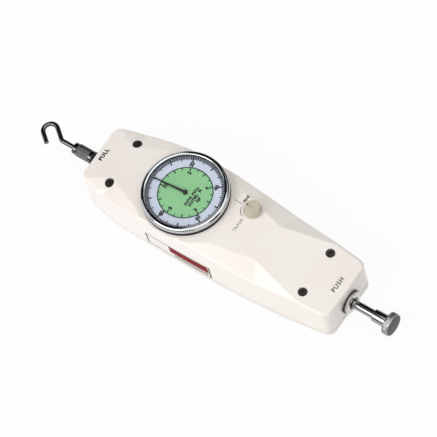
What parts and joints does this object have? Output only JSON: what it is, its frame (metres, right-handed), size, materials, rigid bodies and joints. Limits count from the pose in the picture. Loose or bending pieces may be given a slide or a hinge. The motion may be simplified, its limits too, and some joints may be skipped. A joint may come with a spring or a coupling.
{
  "type": "force gauge",
  "caption": "Push-pull force gauge: faceted cast body with a round dial, a sliding shaft with a hook at one end and a flat push head at the other, and a peak-hold knob.",
  "frame": {"origin": "centre of the four mounting holes, on the flat back face", "axes": "+X along the shaft towards the push head, +Z out of the dial, +Y to the dial's right as it is read"},
  "size_m": [0.2717, 0.0582, 0.0476],
  "materials": {
    "housing_ivory": "gloss ivory enamel on a die casting",
    "cover_ivory": "gloss ivory enamel on a die casting",
    "screw_black": "black oxide",
    "bezel_chrome": "bright plated and turned",
    "spring_wire": "drawn wire",
    "dial_face": "printed face",
    "dial_spacer": "matte",
    "window_glass": "clear",
    "turned_steel": "bright turned and plated",
    "shaft_steel": "ground",
    "nut_black": "black oxide",
    "load_spring_steel": "shot peened",
    "movement_brass": "satin",
    "movement_steel": "satin",
    "pointer_black": "matte black",
    "knob_ivory": "gloss"
  },
  "bodies": {
    "housing": {"front_housing": "housing_ivory", "back_cover": "cover_ivory", "housing_screws": "screw_black", "push_end_bush": "turned_steel", "pull_end_bush": "turned_steel", "spring_seat": "movement_steel", "load_spring": "load_spring_steel", "movement_rear_plate": "movement_brass", "movement_front_plate": "movement_brass", "movement_pillars": "movement_brass", "movement_screws": "movement_steel", "hairspring_stud": "movement_brass", "hairspring": "spring_wire", "dial_plate": "dial_face", "pawl_pivot": "movement_steel"},
    "bezel": {"bezel_ring": "bezel_chrome", "bezel_wire": "spring_wire", "dial_spacer": "dial_spacer", "lens": "window_glass"},
    "shaft": {"main_shaft": "shaft_steel", "push_head": "turned_steel", "lock_nut": "nut_black", "hook_sleeve": "turned_steel", "hook": "turned_steel", "spring_collar": "movement_steel", "stop_collar": "movement_steel", "collar_set_screws": "screw_black", "rack": "movement_brass", "rack_screws": "movement_steel", "rack_bracket": "movement_steel"},
    "transfer": {"transfer_arbor": "movement_steel", "transfer_gear": "movement_brass", "rack_pinion": "movement_steel"},
    "pointer_group": {"pointer": "pointer_black", "pointer_hub": "pointer_black", "centre_arbor": "movement_steel", "centre_pinion": "movement_steel", "ratchet_wheel": "movement_steel"},
    "knob": {"peak_knob": "knob_ivory", "knob_spindle": "movement_steel", "knob_circlip": "spring_wire"},
    "pawl": {"peak_pawl": "movement_steel"}
  },
  "joints": [
    {"name": "shaft_slide", "type": "slide", "parent": "housing", "child": "shaft", "axis": [-1, 0, 0], "range_m": [0, 0.01], "stiffness_N_per_m": 10000, "deforming": ["load_spring"]},
    {"name": "transfer_spin", "type": "hinge", "parent": "housing", "child": "transfer", "pos_m": [-0.04685, -0.00525, 0.0226], "axis": [0, 0, 1], "range_deg": [0, 109.63]},
    {"name": "pointer_spin", "type": "hinge", "parent": "housing", "child": "pointer_group", "pos_m": [-0.026, 0, 0.044], "axis": [0, 0, 1], "range_deg": [-361.64, 0], "deforming": ["hairspring"]},
    {"name": "bezel_turn", "type": "hinge", "parent": "housing", "child": "bezel", "pos_m": [-0.026, 0, 0.0406], "axis": [0, 0, 1], "continuous": true},
    {"name": "knob_turn", "type": "hinge", "parent": "housing", "child": "knob", "pos_m": [0.016, 0.0133, 0.039], "axis": [0, 0, 1], "range_deg": [0, 65]},
    {"name": "pawl_swing", "type": "hinge", "parent": "housing", "child": "pawl", "pos_m": [-0.006, 0.012, 0.0291], "axis": [0, 0, 1], "range_deg": [-4.5, 0]}
  ],
  "couplings": [
    {"joint": "transfer_spin", "follows": "shaft_slide", "rad_per_m": 190.48},
    {"joint": "pointer_spin", "follows": "shaft_slide", "rad_per_m": -628.57},
    {"joint": "pawl_swing", "follows": "knob_turn", "ratio": -0.0615}
  ]
}
